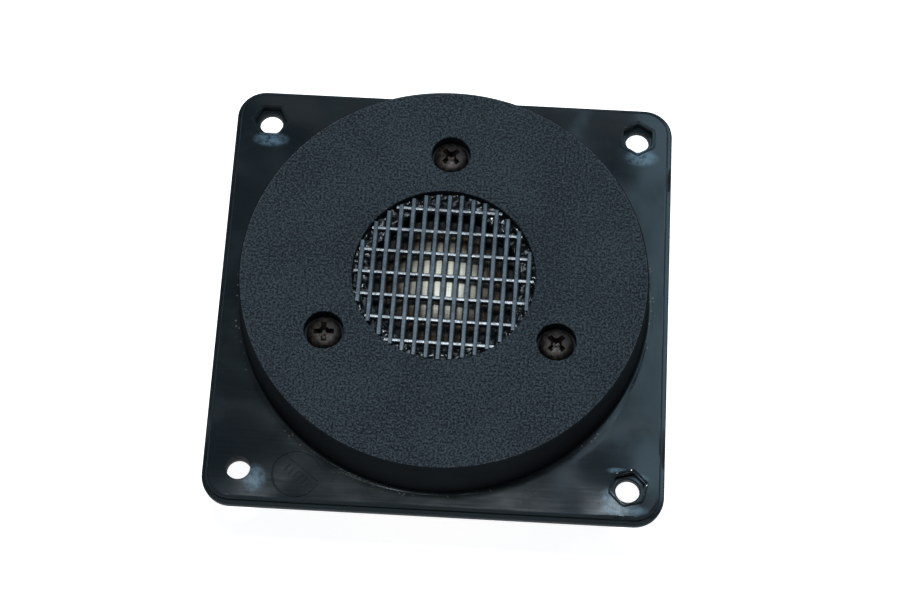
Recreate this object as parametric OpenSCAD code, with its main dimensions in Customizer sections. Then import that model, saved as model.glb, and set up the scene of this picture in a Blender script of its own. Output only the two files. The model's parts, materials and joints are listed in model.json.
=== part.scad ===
// Dome tweeter with a square flange, a raised round front and a recessed grid grille.
// Millimetres. The origin is the centre of the flange's rear face, and +Z points out of the front.

/* [Flange] */
// Width and height of the square flange
flange_w = 95; // [94:0.5:100]
// Corner radius of the flange
flange_corner_r = 6.2; // [5:0.1:9]
// Thickness of the flange together with its gasket
flange_t = 3.4; // [3:0.1:4.5]
// Thickness of the gasket on the flange's rear face
gasket_t = 1.1; // [0.8:0.1:1.3]
// How far the front edge of the flange steps in
edge_step_w = 0.95; // [0.4:0.05:1.4]
// How high that step is
edge_step_h = 1.3; // [0.8:0.1:1.6]

/* [Mounting holes] */
// Distance between hole centres along X and along Y
hole_spacing = 80; // [79:0.5:82]
// Diameter of the four holes
hole_d = 5; // [4.2:0.1:5.8]
// Width across flats of the hexagon pressed round three of the holes
hex_flats = 6.35; // [6:0.05:7]
// Depth of that hexagon
hex_depth = 1.6; // [0.5:0.1:1.9]

/* [Raised front] */
// Diameter of the raised front at the flange
drum_base_d = 86; // [85:0.5:88]
// Diameter of the raised front at its face
drum_face_d = 84.8; // [84:0.2:86]
// Height of the face above the flange's rear face
drum_face_z = 16.2; // [16:0.1:18]
// Radius on the rim of the face
drum_rim_r = 0.7; // [0.3:0.1:1]
// Mean thickness of the side wall of the raised front
drum_wall = 2.9; // [2:0.1:3.2]

/* [Grille] */
// Diameter of the opening that the grille sits in
opening_d = 38; // [36:0.5:40]
// How far the grille's front lies below the face
grille_depth = 0.8; // [0.5:0.1:1.2]
// Thickness of the grille
grille_t = 1.1; // [0.8:0.1:1.2]
// Distance between the upright bars
upright_pitch = 2.49; // [2.2:0.01:3]
// Width of an upright bar at its front
upright_w = 0.75; // [0.6:0.05:1]
// Distance between the cross bars
cross_pitch = 4.98; // [4:0.01:6]
// Width of a cross bar at its front
cross_w = 0.6; // [0.4:0.05:0.8]
// How much wider every bar is at its rear
bar_draft = 0.7; // [0.2:0.05:0.8]
// How far the grille was fitted turned about Z, in degrees
grille_turn = -0.95; // [-3:0.05:3]

/* [Front screws] */
// Diameter of the circle that the three screws lie on
screw_pcd = 55; // [52:0.5:58]
// Diameter of the counterbores
counterbore_d = 8.2; // [7.6:0.1:9]
// Depth of the counterbores
counterbore_depth = 3; // [2.8:0.1:3.4]
// Diameter of the screw heads
screw_head_d = 7.2; // [6.6:0.1:7.4]
// Thread diameter of the screws
screw_d = 4; // [3.8:0.1:4]

/* [Diaphragm] */
// Diameter of the dome and its voice coil former
dome_d = 25.2; // [25:0.1:25.4]
// Height of the dome
dome_h = 4; // [3:0.1:4]
// Height of the dome's base above the flange's rear face
dome_base_z = 9.5; // [9.3:0.1:9.6]
// Diameter of the roll's outer edge
roll_d = 31; // [30.6:0.1:31]
// Height of the coil winding
winding_h = 2.4; // [2:0.1:3.4]

/* [Motor] */
// Diameter of the front pole plate
top_plate_d = 67; // [66:0.5:67]
// Diameter of the ring magnet
magnet_d = 62; // [58:0.5:62]
// Thickness of the ring magnet
magnet_t = 13; // [10:0.5:16]
// Diameter of the rear pole plate
back_plate_d = 58; // [54:0.5:60]
// Thickness of both pole plates
pole_plate_t = 5; // [4:0.5:5]

/* [Hidden] */
$fn = 96;

// A cut runs this far past the face that it opens
past = 1;

// Levels along Z, from the front to the rear
opening_r = opening_d / 2;
grille_front_z = drum_face_z - grille_depth;
grille_rear_z = grille_front_z - grille_t;
adhesive_t = 0.4;
ledge_z = grille_rear_z - adhesive_t;
face_t = 3;
face_rear_z = drum_face_z - face_t;
counterbore_z = drum_face_z - counterbore_depth;
top_plate_z = 7.8;
ring_top_z = 8.9;
surround_t = 0.2;
clamp_gasket_t = 0.4;
clamp_z = ring_top_z + surround_t + clamp_gasket_t;
magnet_bond_t = 0.15;
magnet_front_z = top_plate_z - pole_plate_t - magnet_bond_t;
magnet_rear_z = magnet_front_z - magnet_t;
back_plate_z = magnet_rear_z - magnet_bond_t;
rear_z = back_plate_z - pole_plate_t;

// Radii of the moulding's inner features
cavity_r = (drum_base_d + drum_face_d) / 4 - drum_wall;
throat_r = 15.7;
clamp_boss_r = 24.5;
screw_boss_r = 5.2;
locating_gap = 0.3;
locating_rim_r = top_plate_d / 2 + locating_gap;
locating_rim_w = 1.5;
locating_rim_z = 5;
rib_w = 2;
rib_rear_z = 10.5;
rib_step = 30;
screw_angles = [90, 210, 330];
screw_gap = 0.2;
screw_clear_r = screw_d / 2 + screw_gap;

// Each corner's direction and the turn of its hexagon, which one corner doesn't have
hex_corners = [[-1, 1, 0], [1, 1, 30], [1, -1, 16]];
hole_corners = [[-1, 1], [1, 1], [1, -1], [-1, -1]];

// Small round mark on the flange: a plain ring with a band of short bars across it
mark_x = -28;
mark_y = -40.9;
mark_r = 5.1;
mark_line = 0.4;
mark_depth = 0.2;
mark_turn = -38;
mark_bar_l = 1.8;
mark_bar_pitch = 1.2;
mark_band_y = 1.9;

// The gap between the pole piece and the front pole plate, and what moves in it
former_t = 0.15;
winding_t = 0.3;
dome_r = dome_d / 2;
former_inner_r = dome_r - former_t;
pole_gap = 0.35;
coil_gap = 0.4;
pole_r = former_inner_r - pole_gap;
gap_r = dome_r + winding_t + coil_gap;
former_rear_z = 3.4;
winding_z = top_plate_z - pole_plate_t / 2 - winding_h / 2;
dome_t = 0.25;
felt_r = 10.5;
felt_t = 1.3;
magnet_bore_r = 16;
spigot_r = 8;

// Diaphragm ring
ring_overlap = 0.1;
ring_inner_r = roll_d / 2 - ring_overlap;
ring_outer_r = 22;
lip_outer_r = 18.5;
lead_x = 5.2;
lead_r = 0.3;
lead_drop = 0.4;
lead_z = ring_top_z - lead_drop;

// Terminals, on the -Y side of the motor
board_t = 1.6;
board_inner_y = -32.2;
board_gap = 0.3;
board_r = cavity_r - board_gap;
board_half_w = 18;
board_screw_x = 14;
board_screw_y = -34.2;
board_screw_shank_r = 1.1;
board_screw_len = 7;
board_screw_head_r = 2.2;
board_boss_r = 3.1;
tag_x = 6.75;
tag_w = 5.5;
tag_t = 0.8;
tab_w = 4.8;
tag_inner_y = -33.2;
tag_outer_y = -38.4;
tab_tip_z = -9;
tab_taper = 1.2;
eye_r = 0.8;
eye_z = tab_tip_z + 2.6;
rivet_x = 7.7;
rivet_y = -35.8;
rivet_r = 1.1;
rivet_head_r = 1.7;
rivet_head_t = 0.5;
lead_y = -34.6;
lead_hole_r = 0.5;
dot_x = 10.8;
dot_r = 0.7;
dot_t = 0.15;

// Rounded square of side w, rising from z
module rounded_plate(w, r, z, h) {
    inner = w / 2 - r;
    translate([-w / 2, -inner, z]) cube([w, 2 * inner, h]);
    translate([-inner, -w / 2, z]) cube([2 * inner, w, h]);
    for (x = [-inner, inner], y = [-inner, inner])
        translate([x, y, z]) cylinder(r = r, h = h);
}

module disc(r, z, h) {
    translate([0, 0, z]) cylinder(r = r, h = h);
}

module ring(outer, inner, z, h) {
    difference() {
        disc(outer, z, h);
        disc(inner, z - past, h + 2 * past);
    }
}

module at_front_screws() {
    for (a = screw_angles) rotate([0, 0, a]) translate([screw_pcd / 2, 0, 0]) children();
}

module at_mounting_holes() {
    for (c = hole_corners) translate([c.x * hole_spacing / 2, c.y * hole_spacing / 2, 0]) children();
}

// Points of the quarter circle on the rim of the face
function rim_points(r, z) = [
    for (a = [0 : 15 : 90]) [r - drum_rim_r + drum_rim_r * cos(a), z - drum_rim_r + drum_rim_r * sin(a)]
];

// The outer shape of the raised front, with its draft and rounded rim
module drum_outside() {
    rotate_extrude()
        polygon(concat(
            [[0, gasket_t], [drum_base_d / 2, gasket_t], [drum_base_d / 2, flange_t]],
            rim_points(drum_face_d / 2, drum_face_z),
            [[0, drum_face_z]]
        ));
}

// Rim round the front pole plate, open on one side for the leads
module locating_rim() {
    slot_half = 7.2;
    slot_top_z = 12.2;
    height = face_rear_z + past - locating_rim_z;
    difference() {
        ring(locating_rim_r + locating_rim_w, locating_rim_r, locating_rim_z, height);
        translate([-slot_half, -cavity_r, 0]) cube([2 * slot_half, cavity_r, slot_top_z]);
    }
}

// Ribs from the clamping boss to the side wall, with none where a screw boss stands
module ribs() {
    length = cavity_r - clamp_boss_r + 2 * past;
    for (a = [0 : rib_step : 360 - rib_step])
        if (len([for (s = screw_angles) if (s == a) s]) == 0)
            rotate([0, 0, a])
                translate([clamp_boss_r - past, -rib_w / 2, rib_rear_z])
                    cube([length, rib_w, face_rear_z + past - rib_rear_z]);
}

module board_bosses() {
    for (x = [-board_screw_x, board_screw_x])
        translate([x, board_screw_y, board_t]) cylinder(r = board_boss_r, h = face_rear_z + past - board_t);
}

// Plain engraved ring, with a row of short bars below a chord
module flange_mark() {
    chord = 2 * sqrt((mark_r - mark_line / 2) ^ 2 - mark_band_y ^ 2);
    translate([mark_x, mark_y, flange_t - mark_depth])
        rotate([0, 0, mark_turn]) {
            difference() {
                cylinder(r = mark_r, h = past);
                translate([0, 0, -past]) cylinder(r = mark_r - mark_line, h = 3 * past);
            }
            translate([-chord / 2, mark_band_y - mark_line, 0]) cube([chord, mark_line, past]);
            for (i = [-2 : 2])
                translate([i * mark_bar_pitch - mark_line / 2, -mark_bar_l / 2, 0])
                    cube([mark_line, mark_bar_l, past]);
        }
}

// One moulding: the stepped flange, the hollow raised front and its inner bosses
module front_plate() {
    color("#2c3338")
    difference() {
        union() {
            difference() {
                union() {
                    rounded_plate(flange_w, flange_corner_r, gasket_t, flange_t - edge_step_h - gasket_t);
                    rounded_plate(
                        flange_w - 2 * edge_step_w, flange_corner_r - edge_step_w,
                        gasket_t, flange_t - gasket_t
                    );
                    drum_outside();
                }
                disc(cavity_r, 0, face_rear_z);
            }
            disc(clamp_boss_r, clamp_z, face_rear_z + past - clamp_z);
            at_front_screws() disc(screw_boss_r, top_plate_z, face_rear_z + past - top_plate_z);
            locating_rim();
            ribs();
            board_bosses();
        }
        disc(opening_r, ledge_z, drum_face_z);
        disc(throat_r, 0, drum_face_z);
        at_front_screws() {
            disc(counterbore_d / 2, counterbore_z, drum_face_z);
            disc(screw_clear_r, 0, drum_face_z);
        }
        at_mounting_holes() disc(hole_d / 2, -past, flange_t + 2 * past);
        for (c = hex_corners)
            translate([c.x * hole_spacing / 2, c.y * hole_spacing / 2, flange_t - hex_depth])
                rotate([0, 0, c.z]) cylinder(d = hex_flats / cos(30), h = flange_t, $fn = 6);
        for (x = [-board_screw_x, board_screw_x])
            translate([x, board_screw_y, 0])
                cylinder(r = board_screw_shank_r, h = board_t + board_screw_len);
        flange_mark();
    }
}

// Flat sealing frame on the rear face of the flange
module flange_gasket() {
    inner_margin = 0.5;
    color("#23282b")
    difference() {
        rounded_plate(flange_w, flange_corner_r, 0, gasket_t);
        disc(cavity_r + inner_margin, -past, gasket_t + 2 * past);
        at_mounting_holes() disc(hole_d / 2, -past, gasket_t + 2 * past);
    }
}

// A moulded bar along Y that widens by bar_draft towards its rear
module grille_bar(front_w, h, length) {
    rear_w = front_w + bar_draft;
    rotate([90, 0, 0])
        linear_extrude(length, center = true)
            polygon([[-rear_w / 2, 0], [rear_w / 2, 0], [front_w / 2, h], [-front_w / 2, h]]);
}

// A disc cut from a grid: upright bars, and cross bars that end a little behind their fronts
module grille() {
    edge_gap = 0.2;
    cross_set_back = 0.2;
    upright_offset = 0.06;
    cross_offset = 0.08;
    radius = opening_r - edge_gap;
    n_upright = floor(radius / upright_pitch);
    n_cross = floor(radius / cross_pitch);
    color("#59636b")
    rotate([0, 0, grille_turn])
    intersection() {
        disc(radius, grille_rear_z, grille_t);
        union() {
            for (i = [-n_upright : n_upright])
                translate([i * upright_pitch + upright_offset, 0, grille_rear_z])
                    grille_bar(upright_w, grille_t, 2 * radius);
            for (i = [-n_cross : n_cross])
                translate([0, i * cross_pitch + cross_offset, grille_rear_z])
                    rotate([0, 0, 90]) grille_bar(cross_w, grille_t - cross_set_back, 2 * radius);
        }
    }
}

// Ring of black adhesive that holds the grille on its ledge
module grille_adhesive() {
    outer_gap = 0.1;
    inner_gap = 0.3;
    color("#101214")
    ring(opening_r - outer_gap, throat_r + inner_gap, ledge_z, adhesive_t);
}

// Three pan-head screws with crossed recesses, tapped into the front pole plate
module front_screws() {
    head_h = 2.3;
    head_side_h = 0.9;
    recess_l = 4.4;
    recess_w = 1.1;
    recess_depth = 1.4;
    end_gap = 0.5;
    overlap = 0.2;
    screw_rear_z = top_plate_z - pole_plate_t + end_gap;
    crown_r = ((screw_head_d / 2) ^ 2 + (head_h - head_side_h) ^ 2) / (2 * (head_h - head_side_h));
    recess_turns = [45, 3, 47];
    color("#2a211d")
    for (i = [0 : 2])
        rotate([0, 0, screw_angles[i]]) translate([screw_pcd / 2, 0, 0]) {
            difference() {
                union() {
                    intersection() {
                        disc(screw_head_d / 2, counterbore_z, head_h);
                        translate([0, 0, counterbore_z + head_h - crown_r]) sphere(r = crown_r);
                    }
                    disc(screw_d / 2, screw_rear_z, counterbore_z - screw_rear_z + overlap);
                }
                rotate([0, 0, recess_turns[i] - screw_angles[i]])
                    for (t = [0, 90])
                        rotate([0, 0, t])
                            translate([-recess_l / 2, -recess_w / 2, counterbore_z + head_h - recess_depth])
                                cube([recess_l, recess_w, recess_depth + past]);
            }
        }
}

// Thin ring between the moulding and the edge of the diaphragm
module clamp_gasket() {
    outer_gap = 0.5;
    inner_gap = 0.3;
    color("#8b7f6a")
    ring(ring_outer_r - outer_gap, throat_r + inner_gap, ring_top_z + surround_t, clamp_gasket_t);
}

// Ring that carries the diaphragm, with a groove for each lead
module diaphragm_ring() {
    groove_w = 1;
    lead_gap = 0.05;
    groove_floor_z = lead_z - lead_r - lead_gap;
    color("#1c1c1e")
    difference() {
        ring(ring_outer_r, ring_inner_r, top_plate_z, ring_top_z - top_plate_z);
        for (x = [-lead_x, lead_x])
            translate([x - groove_w / 2, -ring_outer_r - past, groove_floor_z])
                cube([groove_w, ring_outer_r, ring_top_z]);
    }
}

// Half-round roll: a short lip at the dome's base, and a lower flat lip on the ring outside
module surround() {
    inner_lip = 0.4;
    roll_inner_r = dome_r + inner_lip;
    roll_outer_r = roll_d / 2;
    roll_r = (roll_outer_r - roll_inner_r) / 2;
    color("#26211f")
    rotate_extrude()
        union() {
            translate([dome_r, dome_base_z]) square([inner_lip + surround_t / 2, surround_t]);
            translate([roll_inner_r + roll_r, dome_base_z])
                difference() {
                    circle(r = roll_r);
                    circle(r = roll_r - surround_t);
                    translate([-roll_r, -roll_r]) square([2 * roll_r, roll_r]);
                }
            translate([roll_outer_r - surround_t, ring_top_z])
                square([surround_t, dome_base_z - ring_top_z]);
            translate([roll_outer_r - surround_t, ring_top_z])
                square([lip_outer_r - roll_outer_r + surround_t, surround_t]);
        }
}

// Shallow spherical shell
module dome() {
    sphere_r = (dome_r ^ 2 + dome_h ^ 2) / (2 * dome_h);
    centre_z = dome_base_z + dome_h - sphere_r;
    color("#d8cdb4")
    intersection() {
        disc(dome_r, dome_base_z, dome_h);
        difference() {
            translate([0, 0, centre_z]) sphere(r = sphere_r);
            translate([0, 0, centre_z]) sphere(r = sphere_r - dome_t);
        }
    }
}

// Thin tube under the dome
module voice_coil_former() {
    color("#b98a4a")
    ring(dome_r, former_inner_r, former_rear_z, dome_base_z - former_rear_z);
}

// Winding on the rear end of the former
module voice_coil() {
    color("#b5652a")
    ring(dome_r + winding_t, dome_r, winding_z, winding_h);
}

// A wire that runs straight from one point to the other, with round ends
module wire(a, b, r) {
    span = b - a;
    length = norm(span);
    translate(a) sphere(r = r);
    translate(b) sphere(r = r);
    translate(a)
        rotate([0, acos(span.z / length), atan2(span.y, span.x)])
            cylinder(r = r, h = length);
}

// Two leads from the coil across the ring and down to the terminals
module coil_leads() {
    start_y = -14.8;
    end_z = -1.1;
    color("#a8743c")
    for (side = [-1, 1]) {
        start = [side * lead_x, start_y, lead_z];
        over_edge = [side * lead_x, lead_y, lead_z];
        tag_end = [side * lead_x, lead_y, end_z];
        wire(start, over_edge, lead_r);
        wire(over_edge, tag_end, lead_r);
    }
}

// Felt disc on the pole piece that damps the air behind the dome
module pole_felt() {
    color("#4a4d52")
    disc(felt_r, top_plate_z, felt_t);
}

// Front pole plate, tapped for the three front screws
module top_plate() {
    color("#9aa0a4")
    difference() {
        ring(top_plate_d / 2, gap_r, top_plate_z - pole_plate_t, pole_plate_t);
        at_front_screws() disc(screw_d / 2, 0, top_plate_z + past);
    }
}

module magnet() {
    color("#3a3a3c")
    ring(magnet_d / 2, magnet_bore_r, magnet_rear_z, magnet_t);
}

// Two thin layers that bond the magnet to the pole plates
module magnet_adhesive() {
    outer_gap = 2;
    inner_gap = 0.5;
    color("#c9b88a")
    for (z = [magnet_front_z, back_plate_z])
        ring(magnet_d / 2 - outer_gap, magnet_bore_r + inner_gap, z, magnet_bond_t);
}

// Centre pole, with a spigot that is riveted into the rear pole plate
module pole_piece() {
    color("#8f9599")
    union() {
        disc(pole_r, back_plate_z, top_plate_z - back_plate_z);
        disc(spigot_r, rear_z, pole_plate_t);
    }
}

module back_plate() {
    chamfer = 0.6;
    radius = back_plate_d / 2;
    color("#9aa0a4")
    rotate_extrude()
        polygon([
            [spigot_r, rear_z], [radius - chamfer, rear_z], [radius, rear_z + chamfer],
            [radius, back_plate_z], [spigot_r, back_plate_z]
        ]);
}

// Laminate board that carries the two terminals
module terminal_board() {
    color("#8a5a33")
    difference() {
        intersection() {
            translate([-board_half_w, -board_r, 0])
                cube([2 * board_half_w, board_r + board_inner_y, board_t]);
            disc(board_r, 0, board_t);
        }
        for (side = [-1, 1]) {
            translate([side * board_screw_x, board_screw_y, 0])
                disc(board_screw_shank_r, -past, board_t + 2 * past);
            translate([side * rivet_x, rivet_y, 0]) disc(rivet_r, -past, board_t + 2 * past);
            translate([side * lead_x, lead_y, 0]) disc(lead_hole_r, -past, board_t + 2 * past);
        }
    }
}

// A solder tag: a flat foot on the board and a tapered tab bent towards the rear
module terminal(side) {
    difference() {
        union() {
            translate([side * tag_x - tag_w / 2, tag_outer_y, -tag_t])
                cube([tag_w, tag_inner_y - tag_outer_y, tag_t]);
            translate([side * tag_x, tag_outer_y + tag_t, 0])
                rotate([90, 0, 0])
                    linear_extrude(tag_t)
                        polygon([
                            [-tab_w / 2, 0], [-tab_w / 2, tab_tip_z + tab_taper],
                            [-tab_w / 2 + tab_taper, tab_tip_z], [tab_w / 2 - tab_taper, tab_tip_z],
                            [tab_w / 2, tab_tip_z + tab_taper], [tab_w / 2, 0]
                        ]);
        }
        translate([side * rivet_x, rivet_y, 0]) disc(rivet_r, -2 * tag_t, 3 * tag_t);
        translate([side * lead_x, lead_y, 0]) disc(lead_hole_r, -2 * tag_t, 3 * tag_t);
        translate([side * tag_x, tag_outer_y + tag_t + past, eye_z])
            rotate([90, 0, 0]) cylinder(r = eye_r, h = tag_t + 2 * past);
    }
}

module terminal_positive() {
    color("#cfae62") terminal(1);
}

module terminal_negative() {
    color("#cfae62") terminal(-1);
}

// Two rivets that hold the terminals on the board
module terminal_rivets() {
    color("#c4c0b4")
    for (side = [-1, 1])
        translate([side * rivet_x, rivet_y, 0]) {
            disc(rivet_head_r, -tag_t - rivet_head_t, rivet_head_t);
            disc(rivet_r, -tag_t - rivet_head_t, tag_t + board_t + 2 * rivet_head_t);
            disc(rivet_head_r, board_t, rivet_head_t);
        }
}

// Two self-tapping screws that hold the board on the moulding
module board_screws() {
    head_t = 1.4;
    slot_w = 0.6;
    slot_depth = 0.6;
    slot_turn = 30;
    end_gap = 0.5;
    color("#b8bcc0")
    for (side = [-1, 1])
        translate([side * board_screw_x, board_screw_y, 0])
            difference() {
                union() {
                    disc(board_screw_head_r, -head_t, head_t);
                    disc(board_screw_shank_r, -head_t, head_t + board_t + board_screw_len - end_gap);
                }
                rotate([0, 0, slot_turn * side])
                    translate([-board_screw_head_r - past, -slot_w / 2, -head_t - past])
                        cube([2 * board_screw_head_r + 2 * past, slot_w, slot_depth + past]);
            }
}

// Solder round the end of each lead
module solder_joints() {
    solder_r = 1;
    solder_t = 0.8;
    color("#b9bcbe")
    for (side = [-1, 1])
        translate([side * lead_x, lead_y, -tag_t - solder_t])
            difference() {
                cylinder(r = solder_r, h = solder_t);
                cylinder(r = lead_r, h = solder_t + past);
            }
}

// Painted dot beside the positive terminal
module polarity_dot() {
    color("#b3261e")
    translate([dot_x, lead_y, -dot_t]) cylinder(r = dot_r, h = dot_t);
}

front_plate();
flange_gasket();
grille();
grille_adhesive();
front_screws();
clamp_gasket();
diaphragm_ring();
surround();
dome();
voice_coil_former();
voice_coil();
coil_leads();
pole_felt();
top_plate();
magnet();
magnet_adhesive();
pole_piece();
back_plate();
terminal_board();
terminal_positive();
terminal_negative();
terminal_rivets();
board_screws();
solder_joints();
polarity_dot();
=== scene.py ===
"""Looks of a small dome tweeter on a square flange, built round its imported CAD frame."""

import json
import math
import random

import bmesh
import bpy
from mathutils import Matrix, Vector, noise


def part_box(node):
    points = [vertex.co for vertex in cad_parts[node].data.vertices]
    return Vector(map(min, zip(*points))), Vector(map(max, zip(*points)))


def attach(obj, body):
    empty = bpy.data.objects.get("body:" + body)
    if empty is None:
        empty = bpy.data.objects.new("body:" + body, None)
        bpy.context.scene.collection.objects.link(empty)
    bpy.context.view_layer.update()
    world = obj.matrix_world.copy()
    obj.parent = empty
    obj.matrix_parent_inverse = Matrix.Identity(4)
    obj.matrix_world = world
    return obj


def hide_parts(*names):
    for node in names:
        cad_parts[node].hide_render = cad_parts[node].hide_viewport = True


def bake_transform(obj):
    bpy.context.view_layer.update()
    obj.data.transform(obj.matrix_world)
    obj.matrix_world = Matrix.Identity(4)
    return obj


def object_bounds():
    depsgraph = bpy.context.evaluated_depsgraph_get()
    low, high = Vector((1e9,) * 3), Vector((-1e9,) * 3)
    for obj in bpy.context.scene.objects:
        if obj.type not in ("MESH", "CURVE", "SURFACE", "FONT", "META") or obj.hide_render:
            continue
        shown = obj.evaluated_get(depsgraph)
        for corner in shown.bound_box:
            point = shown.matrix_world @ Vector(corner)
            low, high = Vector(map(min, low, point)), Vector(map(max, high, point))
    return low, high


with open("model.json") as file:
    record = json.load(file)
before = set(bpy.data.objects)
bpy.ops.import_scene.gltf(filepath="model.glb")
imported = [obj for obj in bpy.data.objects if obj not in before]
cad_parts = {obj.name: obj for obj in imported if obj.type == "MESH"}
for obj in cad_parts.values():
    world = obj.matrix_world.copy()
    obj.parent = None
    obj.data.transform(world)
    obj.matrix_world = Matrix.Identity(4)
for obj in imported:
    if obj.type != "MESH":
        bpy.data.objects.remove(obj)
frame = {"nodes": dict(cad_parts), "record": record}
cad_low, cad_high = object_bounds()

# Lengths below are millimetres, and meshes are scaled to metres when they are made.
MM = 0.001
TURN = 2 * math.pi

# Where the camera stands, in degrees and millimetres from the point that it looks at
CAMERA_AZIMUTH = 3.075
CAMERA_ELEVATION = 67.006
CAMERA_ROLL = 0.1315
CAMERA_DISTANCE = 506.9
CAMERA_TARGET = (1.26, 0.88, 0)
CAMERA_LENS = 95.36
SENSOR_WIDTH = 36


def box_mm(node):
    """The lowest and highest corners of a CAD node, in millimetres."""
    low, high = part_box(node)
    return low / MM, high / MM


def level(node, side):
    """The height of a node's rear (side 0) or front (side 1)."""
    return box_mm(node)[side].z


def half_width(node):
    return box_mm(node)[1].x


def mount(name):
    return next(m for m in frame["record"]["mounts"] if m["name"] == name)


# Sizes that the frame gives
FLANGE_HALF = half_width("front_plate")
FLANGE_REAR = level("front_plate", 0)
FACE_Z = level("front_plate", 1)
GASKET_REAR = level("flange_gasket", 0)
GRILLE_R = half_width("grille")
GRILLE_REAR = level("grille", 0)
GRILLE_FRONT = level("grille", 1)
LEDGE_Z = level("grille_adhesive", 0)
CLAMP_Z = level("clamp_gasket", 1)
TOP_PLATE_Z = level("top_plate", 1)
TOP_PLATE_R = half_width("top_plate")
DOME_R = half_width("dome")
DOME_BASE_Z = level("dome", 0)
DOME_TOP_Z = level("dome", 1)
RING_TOP_Z = level("diaphragm_ring", 1)
HOLE_HALF = mount("mounting_holes")["dims"]["spacing_x_mm"] / 2
HOLE_R = mount("mounting_holes")["dims"]["hole_r_mm"]

# Sizes of the moulding that the frame's boxes don't give
FLANGE_FRONT = 3.4
CORNER_R = 6.2
STEP_INSET = 0.95
STEP_HEIGHT = 1.3
DRUM_BASE_R = 43
DRUM_FACE_R = 42.4
DRUM_RIM_R = 0.7
OPENING_R = 19
THROAT_R = 15.7
CLAMP_BOSS_R = 24.5
CAVITY_R = 39.8
CAVITY_TOP = FACE_Z - 3
HEX_FLATS = 6.35
HEX_DEPTH = 1.6
SCREW_CIRCLE_R = 27.5
SCREW_ANGLES = (90, 210, 330)
COUNTERBORE_R = 4.1
COUNTERBORE_Z = FACE_Z - 3
SCREW_CLEAR_R = 2.2
SCREW_CLEAR_ENDS = (5, 14)
SCREW_BOSS_R = 5.2
SCREW_HEAD_R = 3.6
SCREW_HEAD_HEIGHT = 2.3
RECESS_TURNS = (45, 3, 47)
RECESS_DEPTH = 1.9

# Ribs, bosses and the motor's rim inside the moulding
RIB_HALF = 1
RIB_REAR = 10.5
RIM_INNER_R = TOP_PLATE_R + 0.3
RIM_OUTER_R = TOP_PLATE_R + 1.8
RIM_REAR = 5
RIM_SLOT_HALF = 7.2
RIM_SLOT_TOP = 12.2
BOARD_BOSS_R = 3.1
BOARD_BOSS_REAR = 1.6
BOARD_BOSS_X = 14
BOARD_BOSS_Y = -34.2

# The round mark that is pressed into the flange: a ring, a chord and a row of bars
MARK_CENTRE = (-28, -40.9)
MARK_R = 5.1
MARK_LINE = 0.4
MARK_DEPTH = 0.2
MARK_TURN = -38
MARK_BAR = 1.8
MARK_BAR_PITCH = 1.2
MARK_BAND_Y = 1.9

# The corners, and the turn in degrees, burr height and seed of each pressed hexagon
CORNERS = ((-1, 1), (1, 1), (1, -1), (-1, -1))
PRESSED_HEXES = {
    (-1, 1): (0, 0.09, 2),
    (1, 1): (30, 0.12, 5),
    (1, -1): (16, 0.42, 9),
}
NICK_CENTRE = (38.6, -46.8, 3.3)
NICK_HALF = (1.9, 0.75, 0.8)

# The moulding's finishes, in the order of its materials
GRAINED, WALL, GLOSSY, UNPOLISHED = range(4)

# Vertices round an outline, and how far cutters and ribs reach past a surface
ROUND_STEPS = 480
PAST = 2
OVERLAP = 0.5


# -------------------- meshes


def new_object(name, data):
    made = bpy.data.objects.new(name, data)
    bpy.context.scene.collection.objects.link(made)
    return made


def finish_mesh(name, points, faces, sharp=35):
    """A mesh object from points in millimetres, with outward normals and smooth shading."""
    mesh = bpy.data.meshes.new(name)
    mesh.from_pydata([tuple(c * MM for c in p) for p in points], [], faces)
    work = bmesh.new()
    work.from_mesh(mesh)
    bmesh.ops.remove_doubles(work, verts=work.verts, dist=1e-7)
    bmesh.ops.recalc_face_normals(work, faces=work.faces)
    work.to_mesh(mesh)
    work.free()
    made = new_object(name, mesh)
    smooth(made, sharp)
    return made


def smooth(piece, sharp=35):
    piece.data.polygons.foreach_set("use_smooth", [True] * len(piece.data.polygons))
    piece.data.set_sharp_from_angle(angle=math.radians(sharp))
    piece.data.update()


def loft(name, loops, closed=True, sharp=35):
    """Skins loops of equal length. A closed loft joins its ends, and an open one is capped."""
    count = len(loops[0])
    points = [p for loop in loops for p in loop]
    faces = []
    last = len(loops) if closed else len(loops) - 1
    for i in range(last):
        a, b = i * count, ((i + 1) % len(loops)) * count
        for j in range(count):
            k = (j + 1) % count
            faces.append((a + j, a + k, b + k, b + j))
    if not closed:
        faces.append(tuple(range(count - 1, -1, -1)))
        faces.append(tuple(range((len(loops) - 1) * count, len(loops) * count)))
    return finish_mesh(name, points, faces, sharp)


def circle_loop(radius, z, count=ROUND_STEPS, centre=(0, 0)):
    loop = []
    for i in range(count):
        angle = TURN * i / count
        loop.append((centre[0] + radius * math.cos(angle), centre[1] + radius * math.sin(angle), z))
    return loop


def square_radius(inset, angle):
    """Distance from the centre to the flange's outline, moved in by inset, along an angle."""
    half = FLANGE_HALF - inset
    corner = max(CORNER_R - inset, 0.1)
    c, s = abs(math.cos(angle)), abs(math.sin(angle))
    flat = half / max(c, s)
    x, y = flat * c, flat * s
    centre = half - corner
    if min(x, y) <= centre:
        return flat
    along = centre * (c + s)
    return along + math.sqrt(max(along**2 - 2 * centre**2 + corner**2, 0))


def square_loop(inset, z):
    """The flange's outline, moved in by inset."""
    loop = []
    for i in range(ROUND_STEPS):
        angle = TURN * i / ROUND_STEPS
        radius = square_radius(inset, angle)
        loop.append((radius * math.cos(angle), radius * math.sin(angle), z))
    return loop


def between(first, second, share):
    """A loop part of the way from one loop to another of the same length."""
    return [tuple(a + (b - a) * share for a, b in zip(p, q)) for p, q in zip(first, second)]


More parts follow.
